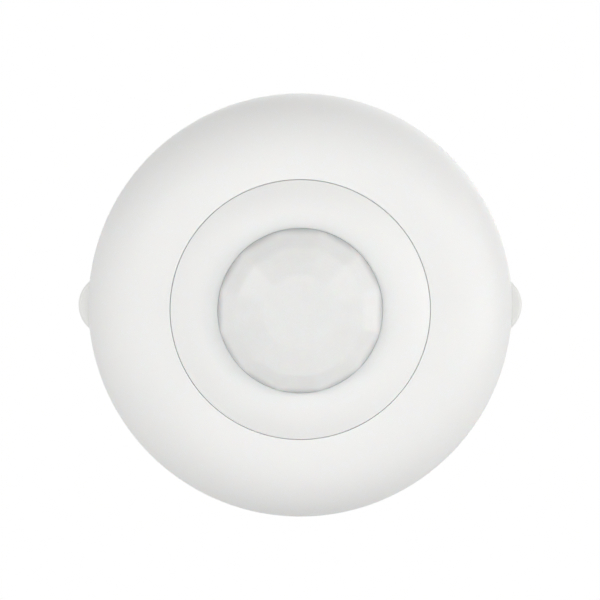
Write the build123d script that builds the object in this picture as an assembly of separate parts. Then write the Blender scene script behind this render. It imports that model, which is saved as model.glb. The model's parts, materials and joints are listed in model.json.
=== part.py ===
# Ceiling occupancy sensor: round moulded body, twist-off lens ring and faceted lens,
# held on a mounting plate by two sprung side tabs. Sizes in millimetres.
# The pieces are drawn face up on the bench: the ceiling face lies at height 0 and the lens
# looks up. At the end everything is turned over, so the part hangs below its ceiling face.
import os
from math import cos, radians, sin

from build123d import *

# Body shell
body_radius = 57.5        # widest radius of the body
rim_height = 0.6          # gap between the ceiling and the shell's rear rim
rim_inset = 1.9           # how far the rear rim draws in from the widest radius
widest_height = 7.0       # height of the widest circle above the ceiling
seam_radius = 34.65       # opening that takes the lens ring
seam_height = 26.5        # height of the seam above the ceiling
shell_wall = 2.2
edge_round = 0.2          # rounding along both sides of the seam
boss_radius = 3.5         # screw bosses that hang from the shell
boss_angles = [45, 135, 225, 315]

# Gaps between pieces
seam_gap = 0.12           # between the shell and the lens ring
fit_gap = 0.3             # between pieces that slide past each other
fine_gap = 0.2            # between pieces that guide each other
seat_gap = 0.1            # between pieces that turn or clamp on each other
plate_gap = 0.8           # between the plate and the shell's rear rim
housing_gap = 0.7         # between the rear housing and the shell
slider_lift = 0.4         # between the plate and the sliders of the tabs
board_gap = 1.7           # between the circuit board and the housing wall
part_gap = 0.7            # between the well and the parts beside it
control_gap = 0.8         # between the controls and the skirt of the lens ring

# Well behind the lens ring, with the deck that carries the controls
well_radius = 33.0
well_wall = 2.6
ring_seat_depth = 1.9     # from the seam down to the seat of the lens ring
ledge_height = 2.2        # ledge that the bayonet lugs turn under
lug_floor = 0.8           # from the groove down to the deck
deck_thickness = 1.8
deck_room = 4.6           # from the circuit board up to the deck
eye_radius = 6.2          # hole for the infrared sensor
collar_wall = 1.2
collar_rise = 1.6

# Bayonet between ring and well
groove_depth = 1.1
groove_height = 2.2
lug_count = 3
lug_angle = 20.0
unlock_angle = 30.0       # twist that lines the lugs up with their entries
entry_spare_angle = 2.0   # spare angle at each side of a lug

# Lens ring
ring_crest_lift = 3.15    # height of the ring's inner edge above the seam
ring_opening = 22.3
ring_swell_out = (3.7, 2.6)    # inset from the seam and lift of the outer swell
ring_swell_in = (4.4, 0.95)    # outset from the lens and lift of the inner swell
ring_under_out = 3.4      # from the ring's inner edge down to the root of its skirt
ring_under_in = 0.7       # from the underside of the lip down to the root of the socket
lip_thickness = 0.9
skirt_wall = 1.5
skirt_foot = 0.4          # how far the skirt reaches below the bayonet groove
socket_wall = 1.6         # wall that holds the lens flange and its retainer
socket_depth = 3.3

# Lens
facet_count = 12
lens_wall = 0.9
lens_flange = 2.6         # how far the flange stands out past the lens wall
lens_flange_thickness = 1.0
lens_play = 0.15          # between the round foot of the lens and the ring's opening
facet_corner = 1.028      # radius of the softened corners as a share of the flats
lens_rows = [             # inset of the flats from the ring's opening, lift above its edge
    (0.15, 0.35),
    (1.8, 3.65),
    (5.5, 6.2),
    (12.7, 8.8),
]
retainer_thickness = 1.4
retainer_width = 2.4
retainer_nibs = 4
nib_width = 3.0
nib_reach = 0.9
nib_inset = 0.4

# Mounting plate
plate_thickness = 2.4
plate_rim_wall = 1.8
rim_top_gap = 0.6         # between the plate's rim and the rear housing
wire_opening = 17.0
opening_wall = 1.6
web_height = 1.2          # stiffening webs and the wall round the opening
web_thickness = 1.2
web_angles = [30, 60, 120, 150, 210, 240, 300, 330]
slot_width = 4.6          # clearance for a No. 8 or 4 mm box screw
wide_box_spacing = 88.9   # 3.5 in between the screws of a wide ceiling box
wide_slot_length = 8.4
narrow_box_spacing = 69.85  # 2.75 in between the screws of a narrow ceiling box
narrow_slot_length = 6.0
pocket_depth = 0.8        # pockets moulded into the ceiling face
ring_pocket_wall = 4.0    # from the wire opening to the ring pocket
ring_pocket_width = 7.5
spoke_pocket_wall = 2.5   # from the ring pocket to the pockets between the spokes
spoke_pocket_rim = 4.2
spoke_pocket_angles = [30, 60, 120, 150, 210, 240, 300, 330]
spoke_pocket_sweep = 24.0
plate_edge_round = 0.5

# Side release tabs
tab_stand_out = 2.8       # how far a tab stands out past the body
tab_half_width = 6.5
tab_bow = 3.1             # how far the end of the tab bows out
tab_corner = 0.6
tab_underside = 1.0
tab_thickness = 2.8
tab_edge_round = 0.8
tab_travel = 1.5
tab_play = 0.6            # between the knob and the plate
neck_half = 3.0
neck_length = 7.7
slider_length = 8.5
slider_half = 6.0
slider_flange = 1.0
slider_flange_height = 1.1
nose_reach = 1.7
nose_thickness = 1.0
nose_gap = 0.9            # from the neck to the nose beside it
catch_play = 0.4          # from the slider's shoulder to the catch above its nose
catch_length = 3.6
catch_thickness = 1.0
pillar_wall = 1.5
pin_radius = 0.7          # pin that centres the spring
pin_length = 1.2

# Tab springs
spring_radius = 1.2       # to the middle of the wire
spring_wire = 0.175       # radius of the wire
spring_turns = 7
spring_room = 8.5         # from the slider to the seat of the spring
spring_seat_wall = 1.5
spring_seat_half = 3.0

# Rear housing
housing_floor = 1.8
housing_wall_inset = 3.8
housing_wall = 1.6
housing_wall_height = 4.9
housing_rib_height = 1.2
housing_rib_wall = 1.2
housing_rib_count = 8
housing_rib_start = 19.0
boss_inset = 9.6          # from the edge of the rear housing to the screw circle
boss_land_gap = 0.3
rail_wall = 1.2
rail_lip = 0.9
rail_lip_thickness = 0.7
rail_start = 0.5
rail_end = 1.0
window_half_x = 13.0      # opening for the terminals and the wires
window_low_y = -6.0
window_high_y = 16.0
root = 0.4                # how deep a rib or rail sinks into the wall that carries it

# Circuit board
board_thickness = 1.6
post_circle = 38.0        # circle of the board's posts and screws
post_radius = 3.2
post_count = 4
post_first_angle = 22.5
board_hole_gap = 0.25
board_notch_gap = 0.4

# Screws
board_screw_core = 1.1
board_screw_head = 2.3
board_screw_length = 4.0
housing_screw_core = 1.4
housing_screw_head = 2.8
housing_screw_length = 9.0
screw_head_height = 1.8
screw_hole_gap = 0.08
screw_hole_spare = 0.5    # depth of a hole past the end of its screw
cross_width = 0.7

# Infrared sensor
spacer_radius = 4.8
spacer_bore = 3.2
spacer_height = 4.6
header_radius = 4.6
header_thickness = 0.5
can_radius = 4.15
can_height = 3.8
can_wall = 0.3
window_size = (4.0, 3.2)
pane_overlap = 0.4
lead_radius = 0.23
lead_circle = 1.8
lead_angles = [45, 180, 315]

# Parts on the circuit board, each stated as length, width and height where it is a box
relay_size = (14.0, 7.4, 5.6)
relay_angle = 180.0
capacitor_radius = 3.15
capacitor_base = (6.6, 1.0)
capacitor_height = 5.8
capacitor_angle = 0.0
coil_radius = 4.5
coil_height = 5.2
coil_flange = 0.9
coil_waist = 0.8
coil_angle = 90.0
chip_size = (9.9, 5.8, 1.5)
chip_centre = (-14.5, 6.0)
chip_lead_pitch = 1.27
chip_lead_size = (0.4, 1.0, 0.3)
chip_leads = 7
regulator_size = (6.2, 6.4, 2.2)
regulator_tab = (2.6, 5.4, 0.6)
regulator_leg = (3.4, 0.8, 0.6)
regulator_leg_offset = 2.3
regulator_angle = 270.0
small_part_size = (2.0, 1.25, 0.6)
small_part_circle = 20.0
small_part_angles = [20, 36, 52, 128, 144, 200, 216, 232, 308, 324]

# Controls on the deck
dial_angles = {"time_delay_dial": 58.0, "light_level_dial": 90.0, "sensitivity_dial": 122.0}
dial_radius = 3.4
dial_rise = 2.6           # how far a dial stands above the deck
dial_height = 4.0
dial_stem = 1.5
dial_slot = 0.9
dial_slot_depth = 1.0
dial_pointer_wall = 0.9   # wall left at the blind end of the dial's slot
trimmer_size = 6.6
trimmer_height = 4.0
switch_count = 4
switch_pitch = 2.54
switch_width = 6.2
switch_side = 1.3         # case left beyond the last slider
switch_sink = 0.6         # how far the case stays below the deck
switch_angle = 270.0
switch_slider_size = (1.3, 1.4)
switch_slider_rise = 0.6
switch_slider_travel = 1.8
switch_slider_depth = 1.6
button_angle = 0.0
button_case_size = 6.0
button_case_height = 3.6
button_radius = 1.8
button_rise = 1.0
button_travel = 0.3
button_socket = 1.0
led_circle = 13.0
led_angle = 200.0
led_radius = 1.5
led_length = 5.3
led_rise = 0.6
led_flange = 0.25
led_leg = 0.5
cell_circle = 13.5
cell_angle = 340.0
cell_radius = 2.55
cell_thickness = 2.0
cell_sink = 0.4
cell_leg_offset = 1.3
small_round = 0.4

# Wire terminals
terminal_count = 4
terminal_pitch = 5.0
terminal_depth = 8.2
terminal_height = 8.2
terminal_end_wall = 0.4
terminal_screw_radius = 1.7
terminal_screw_length = 3.9
terminal_screw_sink = 0.5
terminal_slot = (0.7, 0.8)
terminal_inlet = (3.2, 3.0)
cage_wall = 0.6
cage_reach = (2.0, 3.0)

# Radii worked out from the sizes above
rim_inner_radius = body_radius - rim_inset - shell_wall
plate_radius = rim_inner_radius - plate_gap
housing_radius = body_radius - shell_wall - housing_gap
housing_wall_radius = housing_radius - housing_wall_inset
housing_inner_radius = housing_wall_radius - housing_wall
boss_circle = housing_radius - boss_inset
board_radius = housing_inner_radius - board_gap
well_back = well_radius + well_wall
ring_radius = seam_radius - seam_gap
skirt_radius = well_radius - fit_gap
lens_radius = ring_opening - lens_play
flange_radius = lens_radius + lens_flange
socket_radius = flange_radius + fine_gap
control_circle = skirt_radius - skirt_wall - control_gap - dial_radius
ring_pocket = (wire_opening + ring_pocket_wall, wire_opening + ring_pocket_wall + ring_pocket_width)
spoke_pocket = (ring_pocket[1] + spoke_pocket_wall, plate_radius - spoke_pocket_rim)

# Heights worked out from the sizes above
slider_bottom = plate_thickness + slider_lift
tab_top = slider_bottom + tab_thickness
housing_bottom = tab_top + fine_gap
housing_top = housing_bottom + housing_floor
plate_rim_height = housing_bottom - rim_top_gap
step_height = seam_height - ring_seat_depth
groove_bottom = step_height - ledge_height - groove_height
deck_top = groove_bottom - lug_floor
deck_bottom = deck_top - deck_thickness
board_top = deck_bottom - deck_room
board_bottom = board_top - board_thickness
ring_edge_height = seam_height + ring_crest_lift
lip_bottom = ring_edge_height - lip_thickness
flange_top = lip_bottom - seat_gap
flange_bottom = flange_top - lens_flange_thickness
retainer_top = flange_bottom - seat_gap
retainer_bottom = retainer_top - retainer_thickness
switch_top = deck_top - switch_sink
terminal_bottom = board_bottom - terminal_height
inlet_low = terminal_bottom + terminal_screw_sink + terminal_screw_length + fine_gap
spring_height = slider_bottom + spring_radius + spring_wire

# Places along the tabs, counted from the middle
tab_reach = body_radius + tab_stand_out
knob_start = plate_radius + tab_play
tab_shoulder = knob_start - neck_length
slider_end = tab_shoulder - slider_length
spring_seat = slider_end - spring_room


def around(radius, angle, height=0.0):
    return Pos(radius * cos(radians(angle)), radius * sin(radians(angle)), height)


def turned(section, sweep=360.0):
    return revolve(Plane.XZ * section, Axis.Z, sweep)


def disc(radius, low, high):
    return Pos(0, 0, low) * extrude(Circle(radius), high - low)


def block(x_range, y_range, z_range):
    outline = Rectangle(x_range[1] - x_range[0], y_range[1] - y_range[0], align=Align.MIN)
    return Pos(x_range[0], y_range[0], z_range[0]) * extrude(outline, z_range[1] - z_range[0])


def centred(half, low, high):
    return (-half, half), (low, high)


def band(inner, outer, low, high, start=0.0, sweep=360.0):
    corners = [(inner, low), (outer, low), (outer, high), (inner, high)]
    return Rot(0, 0, start) * turned(make_face(Polyline(*corners, close=True)), sweep)


def both_sides(piece):
    return piece + mirror(piece, Plane.XZ)


def post_angles():
    return [post_first_angle + index * 360 / post_count for index in range(post_count)]


def flank_height(radius, wall=0.0):
    # Height of the shell's flank, a round curve that starts upright at the widest circle.
    run = body_radius - seam_radius
    rise = seam_height - widest_height
    curve = (run * run + rise * rise) / (2 * run)
    centre = body_radius - curve
    return widest_height + ((curve - wall) ** 2 - (radius - centre) ** 2) ** 0.5


def make_front_cover():
    # One moulding: rounded flank, seam, well for the lens ring and control deck.
    rim = (body_radius - rim_inset, rim_height)
    widest = (body_radius, widest_height)
    seam = (seam_radius, seam_height)
    inner_widest = (body_radius - shell_wall, widest_height)
    inner_rim = (rim_inner_radius, rim_height)
    under_flank = (well_back, flank_height(well_back, shell_wall))
    outline = [
        TangentArc(widest, rim, tangent=(0, -1)),
        TangentArc(widest, seam, tangent=(0, 1)),
        Polyline(
            seam,
            (seam_radius, step_height),
            (well_radius, step_height),
            (well_radius, deck_top),
            (eye_radius + collar_wall, deck_top),
            (eye_radius + collar_wall, deck_top + collar_rise),
            (eye_radius, deck_top + collar_rise),
            (eye_radius, deck_bottom),
            (well_back, deck_bottom),
            under_flank,
        ),
        TangentArc(inner_widest, under_flank, tangent=(0, 1)),
        TangentArc(inner_widest, inner_rim, tangent=(0, -1)),
        Line(inner_rim, rim),
    ]
    section = make_face(outline)
    seam_corner = section.vertices().sort_by_distance(seam + (0,))[0]
    cover = turned(fillet(seam_corner, edge_round))

    # Screw bosses reach from the flank down to the rear housing.
    boss_top = flank_height(boss_circle + boss_radius, shell_wall / 2)
    bore_radius = housing_screw_core + screw_hole_gap
    bore_top = housing_bottom + housing_screw_length + screw_hole_spare
    for angle in boss_angles:
        cover += around(boss_circle, angle) * disc(boss_radius, housing_top, boss_top)
    for angle in boss_angles:
        cover -= around(boss_circle, angle) * disc(bore_radius, 0, bore_top)

    # Bayonet track: an entry from above, then a groove under the ledge of the well.
    inner = well_radius - root
    outer = well_radius + groove_depth
    groove_top = groove_bottom + groove_height
    half_entry = lug_angle / 2 + entry_spare_angle
    for index in range(lug_count):
        entry = index * 360 / lug_count
        cover -= band(inner, outer, groove_bottom, seam_height, entry - half_entry, 2 * half_entry)
        run_start = entry - unlock_angle - half_entry
        run_sweep = unlock_angle + 2 * half_entry
        cover -= band(inner, outer, groove_bottom, groove_top, run_start, run_sweep)

    # Holes in the deck for everything that is read or set from below.
    low = deck_bottom - root
    high = deck_top + root
    holes = [(control_circle, angle, dial_radius) for angle in dial_angles.values()]
    holes.append((control_circle, button_angle, button_radius))
    holes.append((led_circle, led_angle, led_radius))
    holes.append((cell_circle, cell_angle, cell_radius))
    for circle, angle, radius in holes:
        cover -= around(circle, angle) * disc(radius + fit_gap, low, high)
    window = Rectangle(switch_case_length() + 2 * fit_gap, switch_width + 2 * fit_gap)
    cover -= switch_place(low) * extrude(window, high - low)

    # Notches in the rear rim for the release tabs.
    notch = block(
        (rim_inner_radius - board_gap, body_radius + root),
        *centred(tab_half_width + fit_gap, 0, tab_top + fine_gap),
    )
    return cover - notch - mirror(notch, Plane.YZ)


def make_lens_ring():
    seam = (ring_radius, seam_height)
    lip = (ring_opening, ring_edge_height)
    swell_out = (ring_radius - ring_swell_out[0], seam_height + ring_swell_out[1])
    swell_in = (ring_opening + ring_swell_in[0], ring_edge_height + ring_swell_in[1])
    skirt_inner = skirt_radius - skirt_wall
    skirt_end = groove_bottom - skirt_foot
    seat = step_height + seat_gap
    socket_outer = socket_radius + socket_wall
    outline = [
        Bezier(seam, swell_out, swell_in, lip),
        Polyline(
            lip,
            (ring_opening, lip_bottom),
            (socket_radius, lip_bottom),
            (socket_radius, lip_bottom - socket_depth),
            (socket_outer, lip_bottom - socket_depth),
            (socket_outer, lip_bottom - ring_under_in),
            (skirt_inner, ring_edge_height - ring_under_out),
            (skirt_inner, skirt_end),
            (skirt_radius, skirt_end),
            (skirt_radius, seat),
            (ring_radius, seat),
            seam,
        ),
    ]
    section = make_face(outline)
    seam_corner = section.vertices().sort_by_distance(seam + (0,))[0]
    ring = turned(fillet(seam_corner, edge_round))

    # Bayonet lugs on the skirt, turned away from their entries at rest.
    lug_low = groove_bottom + fine_gap
    lug_high = groove_bottom + groove_height - fine_gap
    lug_outer = well_radius + groove_depth - fit_gap
    for index in range(lug_count):
        start = index * 360 / lug_count - unlock_angle - lug_angle / 2
        ring += band(skirt_radius - root, lug_outer, lug_low, lug_high, start, lug_angle)

    # Windows in the socket wall take the nibs of the retainer.
    low = retainer_bottom + fine_gap
    high = retainer_top - fine_gap
    wall = band(socket_radius - root, socket_outer + root, low, high)
    window = wall & block((0, socket_outer + root), *centred(nib_width / 2 + fine_gap, low, high))
    for index in range(retainer_nibs):
        ring -= Rot(0, 0, index * 360 / retainer_nibs) * window
    return ring


def facet_outline(flat_radius, height):
    outline = RegularPolygon(flat_radius, facet_count, major_radius=False)
    return Pos(0, 0, height) * Rot(0, 0, 180 / facet_count) * outline


def make_lens():
    # A round foot, then twelve flats in each row with softened corners, over a round flange.
    rows = [(ring_opening - inset, ring_edge_height + lift) for inset, lift in lens_rows]
    foot, crown = rows[0][0], rows[-1][1]
    outer = [facet_outline(foot, flange_bottom)]
    outer += [facet_outline(flat, height) for flat, height in rows]
    inner = [facet_outline(foot - lens_wall, flange_bottom - lens_wall)]
    inner += [facet_outline(flat - lens_wall, height - lens_wall) for flat, height in rows]
    corners = [(flat * facet_corner, height) for flat, height in rows]
    envelope = [(0, flange_bottom), (foot * facet_corner, flange_bottom), *corners, (0, crown)]
    dome = loft(outer, ruled=True) & turned(make_face(Polyline(*envelope, close=True)))
    dome &= disc(lens_radius, flange_bottom, crown)
    hollow = loft(inner, ruled=True) & disc(lens_radius - lens_wall, flange_bottom - root, crown)
    return disc(flange_radius, flange_bottom, flange_top) + dome - hollow


def make_retainer():
    outer = socket_radius - fine_gap
    ring = band(outer - retainer_width, outer, retainer_bottom, retainer_top)
    low = retainer_bottom + nib_inset
    high = retainer_top - nib_inset
    nib = block((0, outer + nib_reach), *centred(nib_width / 2, low, high))
    nib &= band(outer - root, outer + nib_reach, low, high)
    for index in range(retainer_nibs):
        ring += Rot(0, 0, index * 360 / retainer_nibs) * nib
    return ring


def make_mounting_plate():
    plate = disc(plate_radius, 0, plate_rim_height)
    plate = fillet(plate.edges().group_by(Axis.Z)[-1], plate_edge_round)
    plate -= disc(plate_radius - plate_rim_wall, plate_thickness, plate_rim_height + root)
    web_top = plate_thickness + web_height
    plate += disc(wire_opening + opening_wall, 0, web_top)
    web = block(
        (wire_opening + root, plate_radius - root),
        *centred(web_thickness / 2, plate_thickness - root, web_top),
    )
    for angle in web_angles:
        plate += Rot(0, 0, angle) * web
    plate -= disc(wire_opening, -root, web_top + root)

    # Pockets in the ceiling face leave a rim, a ring and spokes to bear on the ceiling.
    plate -= band(*ring_pocket, -root, pocket_depth)
    for angle in spoke_pocket_angles:
        start = angle - spoke_pocket_sweep / 2
        plate -= band(*spoke_pocket, -root, pocket_depth, start, spoke_pocket_sweep)

    slots = (wide_box_spacing, wide_slot_length), (narrow_box_spacing, narrow_slot_length)
    for spacing, length in slots:
        slot = extrude(Rot(0, 0, 90) * SlotOverall(length, slot_width), web_top + root)
        for side in (-1, 1):
            plate -= Pos(0, side * spacing / 2, 0) * slot

    # Room for the tabs, and the catches that their noses hook under.
    half = tab_half_width + fit_gap
    outside = plate_radius + root
    room_start = knob_start - tab_travel - fit_gap
    room = block((room_start, outside), *centred(half, -root, plate_rim_height + root))
    rim_start = plate_radius - plate_rim_wall - root
    room += block((rim_start, outside), *centred(half, plate_thickness, plate_rim_height + root))
    catch_low = slider_bottom + nose_thickness + fine_gap
    catch_top = catch_low + catch_thickness
    catch_start = tab_shoulder + catch_play
    catch_end = catch_start + catch_length
    catch_y = (neck_half + nose_gap - fine_gap, slider_half + fine_gap)
    catch = block((catch_start, catch_end), catch_y, (catch_low, catch_top))
    catch += block((catch_end - pillar_wall, catch_end), catch_y, (plate_thickness - root, catch_top))
    for turn in (0, 180):
        plate -= Rot(0, 0, turn) * room
        plate += Rot(0, 0, turn) * both_sides(catch)
    return plate


def make_release_tab(turn):
    # Rounded thumb tab outside, neck through the plate's rim, guided slider inside.
    corner_x = tab_reach - tab_bow
    outline = [
        Polyline(
            (corner_x, -tab_half_width),
            (knob_start, -tab_half_width),
            (knob_start, tab_half_width),
            (corner_x, tab_half_width),
        ),
        ThreePointArc((corner_x, tab_half_width), (tab_reach, 0), (corner_x, -tab_half_width)),
    ]
    plan = make_face(outline)
    plan = fillet(plan.vertices().group_by(Axis.X)[-1], tab_corner)
    knob = Pos(0, 0, tab_underside) * extrude(plan, tab_top - tab_underside)
    outside = knob.edges().filter_by_position(Axis.X, knob_start + root, tab_reach)
    knob = fillet(outside.group_by(Axis.Z)[-1], tab_edge_round)

    tab_z = (slider_bottom, tab_top)
    slider_x = (slider_end, tab_shoulder)
    tab = knob + block((tab_shoulder - root, knob_start + root), *centred(neck_half, *tab_z))
    tab += block(slider_x, *centred(slider_half, *tab_z))
    tab += block(slider_x, *centred(slider_half + slider_flange, tab_top - slider_flange_height, tab_top))
    nose = block(
        (tab_shoulder - root, tab_shoulder + nose_reach),
        (neck_half + nose_gap, slider_half),
        (slider_bottom, slider_bottom + nose_thickness),
    )
    tab += both_sides(nose)
    pin = extrude(Circle(pin_radius), pin_length + root)
    tab += Pos(slider_end - pin_length, 0, spring_height) * Rot(0, 90, 0) * pin
    return Rot(0, 0, turn) * tab


def make_tab_spring(turn):
    end_room = spring_wire + seat_gap
    length = spring_room - 2 * end_room
    path = Helix(length / spring_turns, length, spring_radius)
    wire_plane = Plane(origin=path @ 0, z_dir=path % 0)
    coil = sweep(wire_plane * RegularPolygon(spring_wire, 6), path, is_frenet=True)
    place = Pos(spring_seat + end_room, 0, spring_height) * Rot(0, 90, 0)
    return Rot(0, 0, turn) * place * coil


def make_rear_housing():
    housing = disc(housing_radius, housing_bottom, housing_top)
    wall_top = housing_top + housing_wall_height
    housing += band(housing_inner_radius, housing_wall_radius, housing_bottom, wall_top)
    rib = block(
        (housing_rib_start, housing_inner_radius + root),
        *centred(housing_rib_wall / 2, housing_top - root, housing_top + housing_rib_height),
    )
    for index in range(housing_rib_count):
        housing += Rot(0, 0, index * 360 / housing_rib_count) * rib
    for angle in post_angles():
        housing += around(post_circle, angle) * disc(post_radius, housing_bottom, board_bottom)
    bore_bottom = board_top - board_screw_length - screw_hole_spare
    for angle in post_angles():
        bore = disc(board_screw_core + screw_hole_gap, bore_bottom, board_bottom + root)
        housing -= around(post_circle, angle) * bore
    for angle in boss_angles:
        # Land round each boss of the cover, then the screw hole.
        housing -= around(boss_circle, angle) * disc(boss_radius + boss_land_gap, housing_top, board_top)
        housing -= around(boss_circle, angle) * disc(housing_screw_core + boss_land_gap, 0, board_top)
    window_x = (-window_half_x, window_half_x)
    window_y = (window_low_y, window_high_y)
    housing -= block(window_x, window_y, (housing_bottom - root, housing_top + root))

    # Rails that guide the sliders, and the seats of their springs.
    beside = slider_half + slider_flange + fine_gap
    lip_top = tab_top - slider_flange_height - fine_gap
    lip_bottom_height = lip_top - rail_lip_thickness
    rail_x = (slider_end + rail_start, tab_shoulder - rail_end)
    rail = block(rail_x, (beside, beside + rail_wall), (lip_bottom_height, housing_bottom + root))
    rail += block(rail_x, (beside - rail_lip, beside + rail_wall), (lip_bottom_height, lip_top))
    seat = block(
        (spring_seat - spring_seat_wall, spring_seat),
        *centred(spring_seat_half, slider_bottom, housing_bottom + root),
    )
    for turn in (0, 180):
        housing += Rot(0, 0, turn) * both_sides(rail)
        housing += Rot(0, 0, turn) * seat
    return housing


def make_main_board():
    low = board_bottom - root
    high = board_top + root
    board = disc(board_radius, board_bottom, board_top)
    for angle in boss_angles:
        for circle in (boss_circle, boss_circle + boss_radius):
            board -= around(circle, angle) * disc(boss_radius + board_notch_gap, low, high)
    for angle in post_angles():
        board -= around(post_circle, angle) * disc(board_screw_core + board_hole_gap, low, high)
    return board


def make_screw(core, length, head_radius):
    # Pan head with a cross recess; the head stands on height 0 and the core points down.
    head = extrude(Circle(head_radius), screw_head_height)
    head = fillet(head.edges().group_by(Axis.Z)[-1], screw_head_height / 2)
    bar = Box(head_radius, cross_width, screw_head_height)
    cross = bar + Rot(0, 0, 90) * bar
    shank = Pos(0, 0, -length) * extrude(Circle(core), length)
    shank = chamfer(shank.edges().group_by(Axis.Z)[0], core / 2)
    return head - Pos(0, 0, screw_head_height) * cross + shank


def make_board_screws():
    screw = make_screw(board_screw_core, board_screw_length, board_screw_head)
    return [around(post_circle, angle, board_top) * screw for angle in post_angles()]


def make_housing_screws():
    screw = Rot(180, 0, 0) * make_screw(housing_screw_core, housing_screw_length, housing_screw_head)
    return [around(boss_circle, angle, housing_bottom) * screw for angle in boss_angles]


def make_sensor_parts():
    header_bottom = board_top + spacer_height
    can_bottom = header_bottom + header_thickness
    can_top = can_bottom + can_height
    spacer = band(spacer_bore, spacer_radius, board_top, header_bottom)
    header = disc(header_radius, header_bottom, can_bottom)
    for angle in lead_angles:
        header += around(lead_circle, angle) * disc(lead_radius, board_top, header_bottom + lead_radius)
    can = disc(can_radius, can_bottom, can_top)
    can = fillet(can.edges().group_by(Axis.Z)[-1], small_round)
    can -= disc(can_radius - can_wall, can_bottom, can_top - can_wall)
    can -= Pos(0, 0, can_top - can_wall) * extrude(Rectangle(*window_size), can_wall)
    length, width = window_size
    pane = extrude(Rectangle(length + 2 * pane_overlap, width + 2 * pane_overlap), can_wall)
    return spacer, header, can, Pos(0, 0, can_top - 2 * can_wall) * pane


def make_dial(angle):
    top = deck_top + dial_rise
    knob = disc(dial_radius, top - dial_height, top)
    knob = chamfer(knob.edges().group_by(Axis.Z)[-1], small_round)
    slot_x = (dial_pointer_wall - dial_radius, dial_radius)
    knob -= block(slot_x, *centred(dial_slot / 2, top - dial_slot_depth, top + root))
    knob += disc(dial_stem, board_top + trimmer_height + seat_gap, top - dial_height + root)
    return around(control_circle, angle) * Rot(0, 0, angle) * knob


def make_trimmer(angle):
    case = extrude(Rectangle(trimmer_size, trimmer_size), trimmer_height)
    case = chamfer(case.edges().group_by(Axis.Z)[-1], small_round)
    return around(control_circle, angle, board_top) * Rot(0, 0, angle) * case


def switch_place(height):
    return around(control_circle, switch_angle, height) * Rot(0, 0, switch_angle + 90)


def switch_case_length():
    return switch_count * switch_pitch + 2 * switch_side


def switch_offsets():
    first = -(switch_count - 1) * switch_pitch / 2
    return [first + index * switch_pitch for index in range(switch_count)]


def make_switch_case():
    case = extrude(Rectangle(switch_case_length(), switch_width), switch_top - board_top)
    slider_x, slider_y = switch_slider_size
    half_x = slider_x / 2 + seat_gap
    half_y = (slider_y + switch_slider_travel) / 2 + seat_gap
    case_height = switch_top - board_top
    floor = case_height - switch_slider_depth - seat_gap
    for offset in switch_offsets():
        pit = block((-half_x, half_x), (-half_y, half_y), (floor, case_height + root))
        case -= Pos(offset, 0, 0) * pit
    return switch_place(board_top) * case


def make_switch_slider(offset):
    slider_x, slider_y = switch_slider_size
    start = -(slider_y + switch_slider_travel) / 2
    slider_z = (switch_top - switch_slider_depth, switch_top + switch_slider_rise)
    slider = block((-slider_x / 2, slider_x / 2), (start, start + slider_y), slider_z)
    return switch_place(0) * Pos(offset, 0, 0) * slider


def make_button_case():
    case = extrude(Rectangle(button_case_size, button_case_size), button_case_height)
    case = chamfer(case.edges().group_by(Axis.Z)[-1], small_round)
    case -= disc(button_radius + seat_gap, button_case_height - button_socket, button_case_height + root)
    return around(control_circle, button_angle, board_top) * case


def make_button():
    low = board_top + button_case_height - button_socket + button_travel + seat_gap
    button = disc(button_radius, low, deck_top + button_rise)
    button = fillet(button.edges().group_by(Axis.Z)[-1], small_round)
    return around(control_circle, button_angle) * button


def make_led():
    top = deck_top + led_rise
    bottom = top - led_length
    body = disc(led_radius, bottom, top - led_radius)
    body += Pos(0, 0, top - led_radius) * Sphere(led_radius)
    body += disc(led_radius + led_flange, bottom, bottom + 2 * led_flange)
    leg = extrude(Rectangle(led_leg, led_leg), bottom - board_top + led_flange)
    for side in (-1, 1):
        body += Pos(side * led_radius * 2 / 3, 0, board_top) * leg
    return around(led_circle, led_angle) * body


def make_cell():
    top = deck_top - cell_sink
    bottom = top - cell_thickness
    body = disc(cell_radius, bottom, top)
    body = fillet(body.edges().group_by(Axis.Z)[-1], small_round)
    leg = extrude(Circle(lead_radius), bottom - board_top + lead_radius)
    for side in (-1, 1):
        body += Pos(side * cell_leg_offset, 0, board_top) * leg
    return around(cell_circle, cell_angle) * body


def beside_well(width, angle):
    return around(well_back + part_gap + width / 2, angle, board_top) * Rot(0, 0, angle)


def make_relay():
    length, width, height = relay_size
    case = extrude(Rectangle(width, length), height)
    case = fillet(case.edges().filter_by(Axis.Z), small_round)
    case = chamfer(case.edges().group_by(Axis.Z)[-1], small_round)
    return beside_well(width, relay_angle) * case


def make_capacitor():
    # Aluminium can on a square moulded base with two cut corners.
    side, base = capacitor_base
    plinth = extrude(Rectangle(side, side), base)
    corners = plinth.edges().filter_by(Axis.Z).group_by(Axis.X)[-1]
    plinth = chamfer(corners, base)
    can = disc(capacitor_radius, base, capacitor_height)
    can = fillet(can.edges().group_by(Axis.Z)[-1], small_round)
    neck_height = base + small_round
    can -= band(capacitor_radius - root / 2, capacitor_radius + root, neck_height, neck_height + root)
    return beside_well(side, capacitor_angle) * (plinth + can)


def make_coil():
    body = disc(coil_radius, 0, coil_flange) + disc(coil_radius, coil_height - coil_flange, coil_height)
    body += disc(coil_radius - coil_waist, 0, coil_height)
    return beside_well(2 * coil_radius, coil_angle) * body


def make_chip():
    length, width, height = chip_size
    lead_width, lead_reach, lead_height = chip_lead_size
    body = extrude(Rectangle(length, width), height)
    body = chamfer(body.edges().group_by(Axis.Z)[-1], lead_height)
    first = -(chip_leads - 1) * chip_lead_pitch / 2
    lead = extrude(Rectangle(lead_width, width + 2 * lead_reach), lead_height)
    for index in range(chip_leads):
        body += Pos(first + index * chip_lead_pitch, 0, 0) * lead
    return Pos(chip_centre[0], chip_centre[1], board_top) * body


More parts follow.
